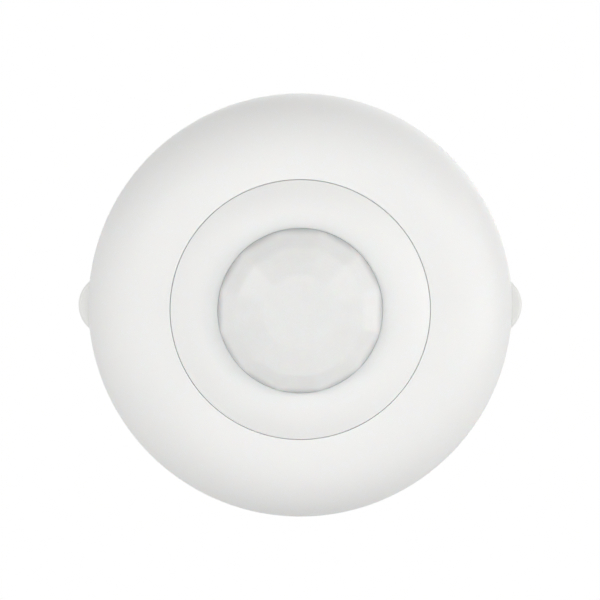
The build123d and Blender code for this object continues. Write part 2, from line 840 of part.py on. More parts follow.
def make_regulator():
    length, width, height = regulator_size
    tab_length, tab_width, tab_height = regulator_tab
    leg_length, leg_width, leg_height = regulator_leg
    body = extrude(Rectangle(length, width), height)
    body = chamfer(body.edges().group_by(Axis.Z)[-1], small_round)
    body += Pos(-length / 2 - tab_length / 4, 0, 0) * extrude(Rectangle(tab_length, tab_width), tab_height)
    leg = extrude(Rectangle(leg_length, leg_width), leg_height)
    for side in (-1, 1):
        body += Pos(length / 2, side * regulator_leg_offset, 0) * leg
    return beside_well(length + tab_length, regulator_angle) * body


def make_small_parts():
    length, width, height = small_part_size
    part = extrude(Rectangle(width, length), height)
    place = Pos(small_part_circle, 0, board_top)
    return [Rot(0, 0, angle) * place * part for angle in small_part_angles]


def terminal_offsets():
    first = -(terminal_count - 1) * terminal_pitch / 2
    return [first + index * terminal_pitch for index in range(terminal_count)]


def make_terminal_block():
    half_x = terminal_count * terminal_pitch / 2 + terminal_end_wall
    half_y = terminal_depth / 2
    body = block((-half_x, half_x), (-half_y, half_y), (terminal_bottom, board_bottom))
    body = chamfer(body.edges().filter_by(Axis.X).group_by(Axis.Z)[0], small_round * 2)
    half_cage = terminal_inlet[0] / 2 + cage_wall + seat_gap
    cage_z = (inlet_low - seat_gap, inlet_low + terminal_inlet[1] + seat_gap)
    inlet = block((-half_cage, half_cage), (-cage_reach[0] - seat_gap, half_y + root), cage_z)
    inlet += disc(terminal_screw_radius + fine_gap, terminal_bottom - root, inlet_low)
    for offset in terminal_offsets():
        body -= Pos(offset, 0, 0) * inlet
    return body


def make_terminal_screws():
    low = terminal_bottom + terminal_screw_sink
    slot_width_across, slot_depth = terminal_slot
    screw = disc(terminal_screw_radius, low, low + terminal_screw_length)
    slot_x = (-terminal_screw_radius, terminal_screw_radius)
    screw -= block(slot_x, *centred(slot_width_across / 2, low - root, low + slot_depth))
    return [Pos(offset, 0, 0) * screw for offset in terminal_offsets()]


def make_terminal_cages():
    # Square brass clamps that the screws press the wire ends into.
    inlet_x, inlet_z = terminal_inlet
    half = inlet_x / 2 + cage_wall
    back, front = cage_reach
    cage = block((-half, half), (-back, front), (inlet_low, inlet_low + inlet_z))
    hollow_z = (inlet_low + cage_wall, inlet_low + inlet_z - cage_wall)
    cage -= block((-inlet_x / 2, inlet_x / 2), (-back - root, front + root), hollow_z)
    return [Pos(offset, 0, 0) * cage for offset in terminal_offsets()]


def turned_over(shapes):
    # Face up on the bench becomes face down under the ceiling.
    if not isinstance(shapes, list):
        shapes = [shapes]
    solids = []
    for shape in shapes:
        solids += (Rot(180, 0, 0) * shape).solids()
    return solids[0] if len(solids) == 1 else Compound(children=solids)


spacer, header, can, pane = make_sensor_parts()
pieces = {
    "mounting_plate": make_mounting_plate(),
    "right_release_tab": make_release_tab(0),
    "left_release_tab": make_release_tab(180),
    "right_tab_spring": make_tab_spring(0),
    "left_tab_spring": make_tab_spring(180),
    "rear_housing": make_rear_housing(),
    "front_cover": make_front_cover(),
    "lens_ring": make_lens_ring(),
    "faceted_lens": make_lens(),
    "lens_retainer": make_retainer(),
    "main_board": make_main_board(),
    "board_screws": make_board_screws(),
    "housing_screws": make_housing_screws(),
    "infrared_spacer": spacer,
    "infrared_header": header,
    "infrared_can": can,
    "infrared_window": pane,
    "status_led": make_led(),
    "light_cell": make_cell(),
    "relay": make_relay(),
    "supply_capacitor": make_capacitor(),
    "supply_coil": make_coil(),
    "voltage_regulator": make_regulator(),
    "controller_chip": make_chip(),
    "small_resistors": make_small_parts(),
    "terminal_block": make_terminal_block(),
    "terminal_screws": make_terminal_screws(),
    "terminal_cages": make_terminal_cages(),
    "switch_case": make_switch_case(),
    "button_case": make_button_case(),
    "test_button": make_button(),
}
for name, angle in dial_angles.items():
    pieces[name] = make_dial(angle)
    pieces[name.replace("dial", "trimmer")] = make_trimmer(angle)
for number, offset in enumerate(switch_offsets(), start=1):
    pieces[f"switch_slider_{number}"] = make_switch_slider(offset)

os.makedirs("parts", exist_ok=True)
for name, piece in pieces.items():
    export_step(turned_over(piece), f"parts/{name}.step")
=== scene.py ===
import bmesh, bpy, json, math
from mathutils import Matrix, Vector

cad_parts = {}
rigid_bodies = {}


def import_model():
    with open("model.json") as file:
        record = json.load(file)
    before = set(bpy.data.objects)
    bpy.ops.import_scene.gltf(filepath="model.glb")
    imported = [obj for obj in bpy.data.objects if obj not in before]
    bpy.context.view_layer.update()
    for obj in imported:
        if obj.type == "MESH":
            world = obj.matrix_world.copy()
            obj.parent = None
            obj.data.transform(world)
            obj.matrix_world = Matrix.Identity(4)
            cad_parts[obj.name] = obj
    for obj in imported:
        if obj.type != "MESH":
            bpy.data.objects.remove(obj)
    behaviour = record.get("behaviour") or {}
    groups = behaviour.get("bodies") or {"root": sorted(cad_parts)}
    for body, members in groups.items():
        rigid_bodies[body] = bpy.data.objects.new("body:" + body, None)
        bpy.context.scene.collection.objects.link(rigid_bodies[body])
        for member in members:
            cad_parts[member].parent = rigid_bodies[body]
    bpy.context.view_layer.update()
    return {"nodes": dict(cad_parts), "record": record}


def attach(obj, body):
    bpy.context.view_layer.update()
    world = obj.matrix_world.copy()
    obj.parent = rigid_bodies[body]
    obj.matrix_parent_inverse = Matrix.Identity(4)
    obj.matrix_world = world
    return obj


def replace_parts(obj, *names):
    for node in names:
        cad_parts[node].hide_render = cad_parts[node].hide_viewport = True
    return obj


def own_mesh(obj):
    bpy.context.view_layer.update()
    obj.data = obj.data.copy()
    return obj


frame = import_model()
nodes = frame["nodes"]
bodyOf = {node: body for body, members in frame["record"]["behaviour"]["bodies"].items() for node in members}
slotOf = {part["node"]: part["material_slot"] for part in frame["record"]["subparts"]}
mm = 0.001
for leftover in [item for item in bpy.data.objects if item.name in ("Cube", "Light", "Camera")]:
    bpy.data.objects.remove(leftover)          # Blender's own starting things
print("frame loaded:", len(nodes), "nodes")


def linear(hexColour):
    # sRGB hex to the linear values that a shader wants
    levels = [int(hexColour[i:i + 2], 16) / 255 for i in (1, 3, 5)]
    return [v / 12.92 if v <= 0.04045 else ((v + 0.055) / 1.055) ** 2.4 for v in levels] + [1.0]


def marksApart(size):
    # scale of a noise or cell texture whose marks are this many millimetres apart
    return 1 / (size * mm)


def wavesApart(spacing):
    # scale of a wave texture, which at scale 1 repeats every tau / 20
    return math.tau / 20 / (spacing * mm)


def addNode(tree, kind, inputs=None, **settings):
    # an input is a value, a socket, a node (its first live output), or a list of these
    node = tree.nodes.new(kind)
    for name, value in settings.items():
        setattr(node, name, value)
    for key, source in (inputs or {}).items():
        several = isinstance(source, list) and isinstance(source[0], (bpy.types.Node, bpy.types.NodeSocket))
        for value in source if several else [source]:
            if isinstance(value, bpy.types.Node):
                value = next(socket for socket in value.outputs if socket.enabled)
            if isinstance(value, bpy.types.NodeSocket):
                tree.links.new(value, node.inputs[key])
            else:
                node.inputs[key].default_value = value
    return node


def startMaterial(name):
    material = bpy.data.materials.new(name)
    material.use_nodes = True
    material.node_tree.nodes.clear()
    place = addNode(material.node_tree, "ShaderNodeTexCoord").outputs["Object"]
    return material, material.node_tree, place


moulding = {"flowMm": 14.0, "glossSpread": 0.06, "grainStrength": 0.6}


def mouldedPlastic(name, colour, shade, roughness=0.42, grainMm=0.35, reliefMm=0.02, ior=1.53, extras=None):
    # moulded in a spark-eroded tool: an even satin grain that spreads highlights, faint flow marks
    material, tree, place = startMaterial(name)
    spread = moulding["glossSpread"]
    flow = addNode(tree, "ShaderNodeTexNoise", {
        "Vector": place, "Scale": marksApart(moulding["flowMm"]), "Detail": 3.0})
    fine = addNode(tree, "ShaderNodeTexNoise", {
        "Vector": place, "Scale": marksApart(grainMm), "Detail": 2.0})
    tone = addNode(tree, "ShaderNodeMix", {0: flow, 6: linear(shade), 7: linear(colour)}, data_type="RGBA")
    gloss = addNode(tree, "ShaderNodeMapRange", {0: fine, 3: roughness - spread, 4: roughness + spread})
    bump = addNode(tree, "ShaderNodeBump", {
        "Height": fine, "Distance": reliefMm * mm, "Strength": moulding["grainStrength"]})
    look = {"Base Color": tone, "Roughness": gloss, "Normal": bump, "IOR": ior, **(extras or {})}
    addNode(tree, "ShaderNodeOutputMaterial", {0: addNode(tree, "ShaderNodeBsdfPrincipled", look)})
    return material


metalwork = {
    "lineMm": 0.12, "lineStretch": (1, 1, 8), "lineReliefMm": 0.01, "lineStrength": 0.5,
    "cloudMm": 2.5, "smoother": 0.1, "rougher": 0.12,
}


def workedMetal(name, colour, shade, roughness):
    # drawn or plated: fine lines along the draw streak the highlights, passivation clouds the tone
    material, tree, place = startMaterial(name)
    along = addNode(tree, "ShaderNodeMapping", {
        "Vector": place, "Scale": [1 / s for s in metalwork["lineStretch"]]})
    fine = addNode(tree, "ShaderNodeTexNoise", {
        "Vector": along, "Scale": marksApart(metalwork["lineMm"]), "Detail": 3.0})
    cloud = addNode(tree, "ShaderNodeTexNoise", {
        "Vector": place, "Scale": marksApart(metalwork["cloudMm"]), "Detail": 2.0})
    tone = addNode(tree, "ShaderNodeMix", {0: cloud, 6: linear(shade), 7: linear(colour)}, data_type="RGBA")
    gloss = addNode(tree, "ShaderNodeMapRange", {
        0: fine, 3: roughness - metalwork["smoother"], 4: roughness + metalwork["rougher"]})
    bump = addNode(tree, "ShaderNodeBump", {
        "Height": fine, "Distance": metalwork["lineReliefMm"] * mm, "Strength": metalwork["lineStrength"]})
    look = {"Base Color": tone, "Roughness": gloss, "Normal": bump, "Metallic": 1.0}
    addNode(tree, "ShaderNodeOutputMaterial", {0: addNode(tree, "ShaderNodeBsdfPrincipled", look)})
    return material


polyethylene = {
    "ringMm": 0.9,                     # real grooves are finer, but would not show
    "ringTone": 0.12, "ringReliefMm": 0.004, "ringStrength": 0.15,
    "waxMm": 3.0, "glossiest": 0.26, "dullest": 0.34,
    "unshadedDepth": 33.7,                # the wall has no painted shade from here down,
    "fullShadeDepth": 30.6,                 # and its painted shade is darkest from here up
    "glow": {"Subsurface Weight": 0.25, "Subsurface Scale": 1.2 * mm},
}


def milkyPolyethylene(name, colour, shade, paintedFootShade):
    # pressed high-density polyethylene: waxy and a little translucent, the ring grooves inside just show
    material, tree, place = startMaterial(name)
    waves = {"Vector": place, "Scale": wavesApart(polyethylene["ringMm"])}
    rings = addNode(tree, "ShaderNodeTexWave", waves, wave_type="RINGS", rings_direction="Z").outputs["Fac"]
    wax = addNode(tree, "ShaderNodeTexNoise", {
        "Vector": place, "Scale": marksApart(polyethylene["waxMm"]), "Detail": 3.0})
    faint = addNode(tree, "ShaderNodeMapRange", {0: rings, 3: 0.0, 4: polyethylene["ringTone"]})
    mixed = addNode(tree, "ShaderNodeMath", {0: wax, 1: faint}, operation="ADD")
    tone = addNode(tree, "ShaderNodeMix", {0: mixed, 6: linear(shade), 7: linear(colour)}, data_type="RGBA")
    # painted shade: the wall is painted darker towards its foot, next to the ring
    height = addNode(tree, "ShaderNodeSeparateXYZ", {0: place}).outputs["Z"]
    paintedShadeFactor = addNode(tree, "ShaderNodeMapRange", {
        0: height, 1: -polyethylene["unshadedDepth"] * mm, 2: -polyethylene["fullShadeDepth"] * mm, 3: 0.0, 4: 1.0},
        interpolation_type="SMOOTHSTEP")
    tone = addNode(tree, "ShaderNodeMix", {0: paintedShadeFactor, 6: tone, 7: linear(paintedFootShade)}, data_type="RGBA")
    gloss = addNode(tree, "ShaderNodeMapRange", {
        0: wax, 3: polyethylene["glossiest"], 4: polyethylene["dullest"]})
    bump = addNode(tree, "ShaderNodeBump", {
        "Height": rings, "Distance": polyethylene["ringReliefMm"] * mm,
        "Strength": polyethylene["ringStrength"]})
    look = {"Base Color": tone, "Roughness": gloss, "Normal": bump, "IOR": 1.51, **polyethylene["glow"]}
    addNode(tree, "ShaderNodeOutputMaterial", {0: addNode(tree, "ShaderNodeBsdfPrincipled", look)})
    return material


resist = {
    "blockMm": 8.0,                    # tracks run along in some blocks and across in others
    "trackMm": 1.5, "trackFrom": 0.74, "trackFull": 0.8,
    "acrossFrom": 0.5,                 # blocks above this level have tracks that run across,
    "pourFrom": 0.8,                   # and those above this one are filled with copper
    "viaMm": 4.2, "viaFrom": 0.1, "viaFull": 0.075,
    "weaveMm": 0.5, "glossiest": 0.25, "dullest": 0.35, "copperMm": 0.035,
    "ground": "#073a20", "groundLight": "#0a4526", "overCopper": "#14683a", "viaTin": "#b9bba6",
}


def solderResist(name):
    # printed board: glossy green resist, paler over the copper, which stands a little proud
    material, tree, place = startMaterial(name)
    blocks = addNode(tree, "ShaderNodeTexVoronoi", {
        "Vector": place, "Scale": marksApart(resist["blockMm"])}, distance="CHEBYCHEV")
    picks = addNode(tree, "ShaderNodeSeparateColor", {0: blocks.outputs["Color"]}).outputs
    waves = {"Vector": place, "Scale": wavesApart(resist["trackMm"])}
    along = addNode(tree, "ShaderNodeTexWave", waves, bands_direction="X").outputs["Fac"]
    across = addNode(tree, "ShaderNodeTexWave", waves, bands_direction="Y").outputs["Fac"]
    way = addNode(tree, "ShaderNodeMath", {
        0: picks["Red"], 1: resist["acrossFrom"]}, operation="GREATER_THAN")
    bands = addNode(tree, "ShaderNodeMix", {0: way, 2: along, 3: across}, data_type="FLOAT")
    tracks = addNode(tree, "ShaderNodeMapRange", {0: bands, 1: resist["trackFrom"], 2: resist["trackFull"]})
    pour = addNode(tree, "ShaderNodeMath", {
        0: picks["Green"], 1: resist["pourFrom"]}, operation="GREATER_THAN")
    copper = addNode(tree, "ShaderNodeMath", {0: tracks, 1: pour}, operation="MAXIMUM")
    spots = addNode(tree, "ShaderNodeTexVoronoi", {
        "Vector": place, "Scale": marksApart(resist["viaMm"])}).outputs["Distance"]
    via = addNode(tree, "ShaderNodeMapRange", {0: spots, 1: resist["viaFrom"], 2: resist["viaFull"]})
    weave = addNode(tree, "ShaderNodeTexNoise", {
        "Vector": place, "Scale": marksApart(resist["weaveMm"]), "Detail": 1.0})
    ground = addNode(tree, "ShaderNodeMix", {
        0: weave, 6: linear(resist["ground"]), 7: linear(resist["groundLight"])}, data_type="RGBA")
    tone = addNode(tree, "ShaderNodeMix", {
        0: copper, 6: ground, 7: linear(resist["overCopper"])}, data_type="RGBA")
    tone = addNode(tree, "ShaderNodeMix", {0: via, 6: tone, 7: linear(resist["viaTin"])}, data_type="RGBA")
    gloss = addNode(tree, "ShaderNodeMapRange", {0: weave, 3: resist["glossiest"], 4: resist["dullest"]})
    bump = addNode(tree, "ShaderNodeBump", {
        "Height": copper, "Distance": resist["copperMm"] * mm, "Strength": 1.0})
    look = {"Base Color": tone, "Roughness": gloss, "Normal": bump, "IOR": 1.5}
    addNode(tree, "ShaderNodeOutputMaterial", {0: addNode(tree, "ShaderNodeBsdfPrincipled", look)})
    return material


cell = {"trackMm": 1.1, "ceramic": "#b88a4c", "track": "#8c3a1c"}


def epoxyOverCadmium(name):
    # light cell: a rusty cadmium track to and fro on ceramic, under clear shiny epoxy
    material, tree, place = startMaterial(name)
    waves = {"Vector": place, "Scale": wavesApart(cell["trackMm"])}
    bands = addNode(tree, "ShaderNodeTexWave", waves, bands_direction="X").outputs["Fac"]
    tone = addNode(tree, "ShaderNodeMix", {
        0: bands, 6: linear(cell["ceramic"]), 7: linear(cell["track"])}, data_type="RGBA")
    look = {"Base Color": tone, "Roughness": 0.3, "IOR": 1.55, "Coat Weight": 1.0, "Coat Roughness": 0.05}
    addNode(tree, "ShaderNodeOutputMaterial", {0: addNode(tree, "ShaderNodeBsdfPrincipled", look)})
    return material


glow = {"Subsurface Weight": 0.15, "Subsurface Scale": 1.0 * mm}
clear = {"Transmission Weight": 0.4}

# one finish for each material slot of the record: name, colour, the shade that clouds it, then roughness,
# grain and relief in mm and IOR, where they aren't the usual ones
finishes = {
    # ABS: satin from its fine even grain, and light goes a little way in, so the cover's seams look pale
    "white_housing": mouldedPlastic("mouldedAbsHousing", "#f4f4f3", "#f1f1f0", 0.44, 0.3, 0.012, 1.53, glow),
    "white_plate": mouldedPlastic("mouldedAbsPlate", "#efefed", "#ebebe9", 0.46, 0.4, 0.02),
    # the lens's third colour is painted shade on the foot of its wall
    "lens_plastic": milkyPolyethylene("pressedPolyethylene", "#ededec", "#e8e8e7", "#bdbebf"),
    # nylon and acetal: plain colours with a soft sheen
    "black_plastic": mouldedPlastic("mouldedBlackNylon", "#232325", "#1c1c1e", 0.5),
    "terminal_plastic": mouldedPlastic("mouldedGreenNylon", "#1f8a4d", "#1b7a44", 0.42, 0.3, 0.015),
    "switch_plastic": mouldedPlastic("mouldedRedNylon", "#b3241e", "#9c1f1a", 0.42),
    "button_plastic": mouldedPlastic("mouldedWhiteAcetal", "#efeee9", "#e6e5df", 0.34),
    "blue_plastic": mouldedPlastic("mouldedBlueNylon", "#2858a8", "#21498f", 0.42),
    "red_plastic": mouldedPlastic("mouldedDialNylon", "#b02a22", "#98231c", 0.42),
    "circuit_board": solderResist("greenSolderResist"),
    # cases and resins on the board: dull where they are filled, glossier where they are cast
    "relay_case": mouldedPlastic("mouldedRelayPolyester", "#2c3035", "#262a2e", 0.38),
    "chip_epoxy": mouldedPlastic("mouldedChipEpoxy", "#1f2021", "#18191a", 0.55, 0.15, 0.02),
    "trimmer_plastic": mouldedPlastic("castTrimmerEpoxy", "#2d5fa6", "#26518f", 0.36),
    "red_epoxy": mouldedPlastic("castRedEpoxy", "#c81e1e", "#a81818", 0.12, 0.6, 0.002, 1.55, clear),
    "cell_epoxy": epoxyOverCadmium("epoxyOverCadmium"),
    # pressed, fired and coated: grainy ferrite, glassy ceramic, a window like a dark mirror
    "ferrite": mouldedPlastic("pressedFerrite", "#3a3a3b", "#2c2c2d", 0.62, 0.12, 0.03, 1.6),
    "resistor_ceramic": mouldedPlastic("glazedThickFilm", "#26262a", "#1d1d20", 0.25, 0.3, 0.004, 1.6),
    "infrared_filter": mouldedPlastic("coatedSiliconWindow", "#2c2733", "#231f29", 0.14, 0.5, 0.002, 2.4),
    # drawn and plated metals: streaked highlights, grey, white or pale gold
    "spring_steel": workedMetal("drawnSpringSteel", "#b9b8b3", "#9c9b97", 0.3),
    "plated_steel": workedMetal("zincPlatedSteel", "#c9c9c4", "#b4b6b3", 0.34),
    "aluminium_can": workedMetal("drawnAluminiumCan", "#d3d4d6", "#c3c4c6", 0.28),
    "plated_brass": workedMetal("platedBrassCage", "#d9c07a", "#c4a860", 0.3),
}
finishes["capacitor_sleeve"] = finishes["aluminium_can"]      # the capacitor is a bare can
tinnedPad = workedMetal("tinnedPad", "#d5d6d6", "#bfc0c0", 0.26)
print("materials ready:", len(finishes))


def newPiece(name, mesh, node, material=None):
    # a finished object at the origin that rides where its CAD node rides
    piece = bpy.data.objects.new(name, mesh)
    bpy.context.scene.collection.objects.link(piece)
    if material:
        mesh.materials.clear()
        mesh.materials.append(material)
    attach(piece, bodyOf[node])
    return piece


def startTree(name, sizes, materials=("finish",)):
    # counts are whole numbers, lengths (and shares) have a decimal point, vectors are three lengths
    tree = bpy.data.node_groups.new(name, "GeometryNodeTree")
    tree.interface.new_socket("Geometry", in_out="INPUT", socket_type="NodeSocketGeometry")
    tree.interface.new_socket("Geometry", in_out="OUTPUT", socket_type="NodeSocketGeometry")
    kinds = {int: "NodeSocketInt", float: "NodeSocketFloat", tuple: "NodeSocketVector"}
    for key, value in sizes.items():
        tree.interface.new_socket(key, in_out="INPUT", socket_type=kinds[type(value)])
    for key in materials:
        tree.interface.new_socket(key, in_out="INPUT", socket_type="NodeSocketMaterial")
    return tree, addNode(tree, "NodeGroupInput").outputs


def setOnPlaces(tree, places, shape):
    # each starting point carries its own turn about the upright and tip about the level, in radians
    tip = addNode(tree, "GeometryNodeInputNamedAttribute", {"Name": "tip"}, data_type="FLOAT")
    turn = addNode(tree, "GeometryNodeInputNamedAttribute", {"Name": "turn"}, data_type="FLOAT")
    angles = addNode(tree, "ShaderNodeCombineXYZ", {"X": tip, "Z": turn})
    rotation = addNode(tree, "FunctionNodeEulerToRotation", {0: angles})
    return addNode(tree, "GeometryNodeInstanceOnPoints", {
        "Points": places, "Instance": shape, "Rotation": rotation})


def turned(turns, tip=0.0):
    # the marks that setOnPlaces reads: a turn for each copy and one tip for all
    return {"turn": turns, "tip": [tip] * len(turns)}


def endTree(tree, geometry, finish=None):
    real = addNode(tree, "GeometryNodeRealizeInstances", {0: geometry})
    painted = addNode(tree, "GeometryNodeSetMaterial", {0: real, "Material": finish}) if finish else real
    addNode(tree, "NodeGroupOutput", {0: painted})
    return tree


def growPiece(name, tree, sizes, node, places, marks, edges=(), smoothAngle=30.0, slot=None, **materials):
    # runs a tree on its starting points and keeps the plain mesh
    start = bpy.data.meshes.new(name + "Places")
    start.from_pydata([[c * mm for c in place] for place in places], edges, [])
    for key, values in marks.items():
        start.attributes.new(key, "FLOAT", "POINT").data.foreach_set("value", values)
    maker = bpy.data.objects.new(name + "Maker", start)
    bpy.context.scene.collection.objects.link(maker)
    modifier = maker.modifiers.new("grow", "NODES")
    modifier.node_group = tree
    values = {"finish": finishes[slotOf[node]], **sizes, **materials}
    for item in tree.interface.items_tree:
        if item.in_out == "INPUT" and item.name in values:
            value = values[item.name]
            if isinstance(value, float) and not item.name.endswith("Share"):
                value = value * mm
            elif isinstance(value, tuple):
                value = [c * mm for c in value]
            modifier[item.identifier] = value
    maker.update_tag()
    grown = bpy.data.meshes.new_from_object(maker.evaluated_get(bpy.context.evaluated_depsgraph_get()))
    maker.modifiers.clear()
    bpy.data.objects.remove(maker)
    grown.polygons.foreach_set("use_smooth", [True] * len(grown.polygons))
    grown.set_sharp_from_angle(angle=math.radians(smoothAngle))
    print("grown:", name, len(grown.polygons), "faces")
    return newPiece(name, grown, node)


def ringPlaces(radius, angles, depth):
    # angles are counted as seen from the room, depth is below the ceiling
    turns = [math.radians(angle) for angle in angles]
    return [(radius * math.cos(turn), -radius * math.sin(turn), -depth) for turn in turns]


def sweepRound(tree, given):
    # the starting outline gets its corners rounded by their "soft" marks and goes once round the axis
    soft = addNode(tree, "GeometryNodeInputNamedAttribute", {"Name": "soft"}, data_type="FLOAT")
    outline = addNode(tree, "GeometryNodeMeshToCurve", {0: given["Geometry"]})
    outline = addNode(tree, "GeometryNodeFilletCurve", {
        0: outline, "Count": given["filletPoints"], "Radius": soft, "Limit Radius": True}, mode="POLY")
    path = addNode(tree, "GeometryNodeCurvePrimitiveCircle", {
        "Resolution": given["roundSides"], "Radius": given["pathRadius"]})
    return addNode(tree, "GeometryNodeCurveToMesh", {0: path, 1: outline})


def growRound(name, tree, piece, node, outline, closed):
    # an outline gives the reach from the axis, depth and rounding of each corner
    # the starting points count the reach from the path's circle instead
    places = [(reach - piece["shape"]["pathRadius"], depth, 0.0) for reach, depth, soft in outline]
    edges = [(i, (i + 1) % len(outline)) for i in range(len(outline) if closed else len(outline) - 1)]
    marks = {"soft": [soft * mm for reach, depth, soft in outline]}
    return growPiece(name, tree, piece["shape"], node, places, marks, edges, piece["smoothAngle"])


# faceted lens: twelve soft-edged flats in each row, on a round foot, with a flange inside the ring
lens = {
    "shape": {
        "facets": 12,
        "roundSides": 180,
        "filletPoints": 5,
        "pathRadius": 30.0,
        "roundDepth": 30.4,      # the foot is round down to here
        "flatDepth": 33.0,       # and fully faceted from here
        "reachShare": 1.028,     # corners are softened to this share of the flats
        "blendShare": 0.006,
    },
    # reach of the flats, depth and rounding of each ridge, from the foot to the crown
    "rows": [(21.88, 30.0, 2.5), (21.42, 31.9, 2.4), (20.4, 33.3, 5.0), (16.8, 35.85, 7.0),
             (9.6, 38.45, 5.0)],
    "weld": 0.0005,
    "wall": 0.9,
    "flangeReach": 24.75,
    "flangeTop": 27.65,
    "flangeBottom": 28.65,
    "edge": 0.1,
    "smoothAngle": 40.0,
}


def facetedDome():
    # the round skin is pushed out at the corners between the flats
    tree, given = startTree("facetedDome", lens["shape"])
    skin = addNode(tree, "GeometryNodeMergeByDistance", {
        0: sweepRound(tree, given), "Distance": lens["weld"] * mm})
    position = addNode(tree, "GeometryNodeInputPosition").outputs[0]
    split = addNode(tree, "ShaderNodeSeparateXYZ", {0: position}).outputs
    angle = addNode(tree, "ShaderNodeMath", {0: split["Y"], 1: split["X"]}, operation="ARCTAN2")
    sector = addNode(tree, "ShaderNodeMath", {0: math.tau, 1: given["facets"]}, operation="DIVIDE")
    half = addNode(tree, "ShaderNodeMath", {0: sector, 1: 0.5}, operation="MULTIPLY")
    shifted = addNode(tree, "ShaderNodeMath", {0: angle, 1: half}, operation="ADD")
    wrapped = addNode(tree, "ShaderNodeMath", {0: shifted, 1: sector}, operation="FLOORED_MODULO")
    within = addNode(tree, "ShaderNodeMath", {0: wrapped, 1: half}, operation="SUBTRACT")
    cosine = addNode(tree, "ShaderNodeMath", {0: within}, operation="COSINE")
    corner = addNode(tree, "ShaderNodeMath", {0: 1.0, 1: cosine}, operation="DIVIDE")
    corner = addNode(tree, "ShaderNodeMath", {
        0: corner, 1: given["reachShare"], 2: given["blendShare"]}, operation="SMOOTH_MIN")
    extra = addNode(tree, "ShaderNodeMath", {0: corner, 1: 1.0}, operation="SUBTRACT")
    depth = addNode(tree, "ShaderNodeMath", {0: split["Z"], 1: -1.0}, operation="MULTIPLY")
    faceted = addNode(tree, "ShaderNodeMapRange", {
        0: depth, 1: given["roundDepth"], 2: given["flatDepth"]}, interpolation_type="SMOOTHSTEP")
    wider = addNode(tree, "ShaderNodeMath", {0: extra, 1: faceted, 2: 1.0}, operation="MULTIPLY_ADD")
    stretch = addNode(tree, "ShaderNodeCombineXYZ", {"X": wider, "Y": wider, "Z": 1.0})
    moved = addNode(tree, "ShaderNodeVectorMath", {0: position, 1: stretch}, operation="MULTIPLY")
    dome = addNode(tree, "GeometryNodeSetPosition", {0: skin, "Position": moved})
    return endTree(tree, dome, given["finish"])


def makeLens():
    # the section runs from the crown along the outside to the foot, round the flange and back inside
    rows, wall, edge = lens["rows"], lens["wall"], lens["edge"]
    rim, top, bottom = lens["flangeReach"], lens["flangeTop"], lens["flangeBottom"]
    foot, crown = rows[0][0], rows[-1][1]
    flange = [(foot, bottom, edge), (rim, bottom, edge), (rim, top, edge), (foot - wall, top, edge)]
    inside = [(reach - wall, depth - wall, soft) for reach, depth, soft in rows[1:]]
    outline = [(0.0, crown, 0.0)] + rows[::-1] + flange + inside + [(0.0, crown - wall, 0.0)]
    dome = growRound("lens_dome", facetedDome(), lens, "faceted_lens", outline, closed=False)
    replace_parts(dome, "faceted_lens")


# lip: the ring runs nearly level up to a small rounded edge that closes on the lens
lip = {
    "shape": {"roundSides": 240, "filletPoints": 5, "pathRadius": 30.0},
    # reach, depth and rounding of each corner
    "corners": [(26.2, 29.8, 0.0), (25.0, 29.945, 6.0), (21.89, 29.89, 0.1), (21.89, 29.2, 0.1),
                (26.2, 29.2, 0.1)],
    "smoothAngle": 40.0,
}


def roundedLip():
    tree, given = startTree("roundedLip", lip["shape"])
    return endTree(tree, sweepRound(tree, given), given["finish"])


def makeLip():
    growRound("lens_ring_lip", roundedLip(), lip, "lens_ring", lip["corners"], closed=True)


# tab springs: a wound coil behind each tab, at rest; the real one is squeezed as the tab goes in
spring = {
    "shape": {
        "turns": 7, "coilRadius": 1.2, "wireRadius": 0.175, "length": 7.95,
        "turnSteps": 28, "wireSides": 10,
    },
    "start": 28.775,             # from the axis to the end that stays
    "depth": 4.175,
    "travel": 1.5,
}


def woundCoil():
    tree, given = startTree("woundCoil", spring["shape"])
    line = addNode(tree, "GeometryNodeCurveSpiral", {
        "Resolution": given["turnSteps"], "Rotations": given["turns"], "Start Radius": given["coilRadius"],
        "End Radius": given["coilRadius"], "Height": given["length"]})
    wire = addNode(tree, "GeometryNodeCurvePrimitiveCircle", {
        "Resolution": given["wireSides"], "Radius": given["wireRadius"]})
    coil = addNode(tree, "GeometryNodeCurveToMesh", {0: line, 1: wire, "Fill Caps": True})
    level = addNode(tree, "GeometryNodeTransform", {0: coil, "Rotation": (0.0, math.pi / 2, 0.0)})
    return endTree(tree, setOnPlaces(tree, given["Geometry"], level), given["finish"])


def makeSprings():
    tree, sizes = woundCoil(), spring["shape"]
    for side, sign, turn in (("right", 1, 0.0), ("left", -1, math.pi)):
        node = side + "_tab_spring"
        place = (sign * spring["start"], 0.0, -spring["depth"])
        coil = growPiece(side + "_spring_coil", tree, sizes, node, [place], turned([turn]))
        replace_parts(coil, node)
        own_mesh(coil)


